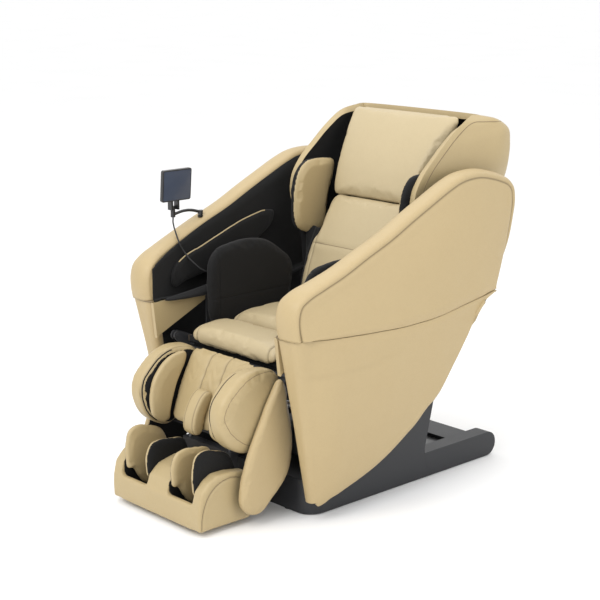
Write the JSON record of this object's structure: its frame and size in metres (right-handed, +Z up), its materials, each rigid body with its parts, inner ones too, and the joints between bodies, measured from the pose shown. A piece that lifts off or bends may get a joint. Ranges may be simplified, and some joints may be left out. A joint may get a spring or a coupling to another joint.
{
  "type": "reclining massage chair",
  "caption": "Reclining leather massage chair with bulging side shells, air-pad arm, calf and foot channels, leg and foot rests and a swivelling tablet remote.",
  "frame": {"origin": "on the floor, on the centre plane, straight below the seat's tilt axle", "axes": "+Z up, the sitter faces -Y, +X towards the sitter's left hand"},
  "size_m": [0.9474, 1.323, 1.209],
  "materials": {
    "tan_leather": "satin",
    "black_fabric": "matte",
    "grey_plastic": "satin",
    "black_plastic": "gloss",
    "power_housing": "satin",
    "switch_red": "gloss",
    "roller_plastic": "gloss",
    "steel_paint": "satin",
    "bright_steel": "satin",
    "plywood": "raw",
    "rubber": "matte"
  },
  "bodies": {
    "base": {"floor_pan": "steel_paint", "base_cover": "grey_plastic", "rear_leg_left": "grey_plastic", "rear_leg_right": "grey_plastic", "rear_bridge": "grey_plastic", "rubber_feet": "rubber", "tilt_stand": "steel_paint", "tilt_axle": "bright_steel", "tilt_motor": "black_plastic", "power_unit": "power_housing", "power_inlet": "black_plastic"},
    "wheel_l": {"wheel_left": "rubber"},
    "wheel_r": {"wheel_right": "rubber"},
    "switch": {"power_switch": "switch_red"},
    "seat": {"seat_frame": "steel_paint", "seat_pan": "plywood", "seat_cushion_front": "tan_leather", "seat_cushion_rear": "tan_leather", "panel_lower_left": "tan_leather", "panel_lower_right": "tan_leather", "panel_upper_left": "tan_leather", "panel_upper_right": "tan_leather", "arm_lining_left": "black_fabric", "arm_lining_right": "black_fabric", "arm_base_left": "black_fabric", "arm_base_right": "black_fabric", "arm_gusset_left": "tan_leather", "arm_gusset_right": "tan_leather", "forearm_pad_left": "black_fabric", "forearm_pad_right": "black_fabric", "hand_pad_left": "black_fabric", "hand_pad_right": "black_fabric", "remote_mount": "black_plastic", "cable_grommet": "rubber", "remote_cable": "rubber"},
    "backrest": {"back_frame": "steel_paint", "lead_screw": "bright_steel", "back_shell": "tan_leather", "back_cushion": "tan_leather", "head_pillow": "tan_leather", "shoulder_pad_left": "tan_leather", "shoulder_pad_right": "tan_leather"},
    "carriage": {"massage_carriage": "power_housing"},
    "knead_l": {"knead_arm_left": "roller_plastic"},
    "knead_r": {"knead_arm_right": "roller_plastic"},
    "legrest": {"leg_frame": "steel_paint", "calf_rest": "tan_leather", "calf_wall_left": "tan_leather", "calf_wall_right": "tan_leather", "calf_air_left": "tan_leather", "calf_air_right": "tan_leather", "calf_divider": "tan_leather", "leg_cover_left": "tan_leather", "leg_cover_right": "tan_leather"},
    "footrest": {"foot_shell": "tan_leather", "foot_slide": "steel_paint", "foot_air_outer": "black_fabric", "foot_air_inner": "black_fabric"},
    "remote_swing": {"remote_arm": "black_plastic"},
    "remote": {"remote_control": "black_plastic"}
  },
  "joints": [
    {"name": "seat_tilt", "type": "hinge", "parent": "base", "child": "seat", "pos_m": [0, 0, 0.24], "axis": [-1, 0, 0], "range_deg": [0, 15]},
    {"name": "back_recline", "type": "hinge", "parent": "seat", "child": "backrest", "pos_m": [0, 0.15, 0.48], "axis": [-1, 0, 0], "range_deg": [0, 45]},
    {"name": "leg_raise", "type": "hinge", "parent": "seat", "child": "legrest", "pos_m": [0, -0.287, 0.488], "axis": [-1, 0, 0], "range_deg": [0, 75]},
    {"name": "foot_extend", "type": "slide", "parent": "legrest", "child": "footrest", "axis": [0, -0.4772, -0.8788], "range_m": [0, 0.12]},
    {"name": "carriage_travel", "type": "slide", "parent": "backrest", "child": "carriage", "axis": [0, 0.454, 0.891], "range_m": [-0.06, 0.29]},
    {"name": "knead_left_swing", "type": "hinge", "parent": "carriage", "child": "knead_l", "pos_m": [0, 0.34833, 0.67128], "axis": [1, 0, 0], "range_deg": [-20, 20]},
    {"name": "knead_right_swing", "type": "hinge", "parent": "carriage", "child": "knead_r", "pos_m": [0, 0.34833, 0.67128], "axis": [1, 0, 0], "range_deg": [-20, 20]},
    {"name": "remote_swivel", "type": "hinge", "parent": "seat", "child": "remote_swing", "pos_m": [-0.376, -0.098, 0.866], "axis": [0, 0, 1], "range_deg": [-20, 90]},
    {"name": "remote_tilt", "type": "hinge", "parent": "remote_swing", "child": "remote", "pos_m": [-0.381, -0.212, 0.896], "axis": [0, 1, 0], "range_deg": [-25, 25]},
    {"name": "wheel_left_spin", "type": "hinge", "parent": "base", "child": "wheel_l", "pos_m": [0.292, 0.622, 0.0345], "axis": [1, 0, 0], "continuous": true},
    {"name": "wheel_right_spin", "type": "hinge", "parent": "base", "child": "wheel_r", "pos_m": [-0.292, 0.622, 0.0345], "axis": [1, 0, 0], "continuous": true},
    {"name": "power_rocker", "type": "hinge", "parent": "base", "child": "switch", "pos_m": [0, 0.29, 0.093], "axis": [1, 0, 0], "range_deg": [-6, 6]}
  ],
  "couplings": [
    {"joint": "knead_right_swing", "follows": "knead_left_swing", "ratio": -1}
  ]
}
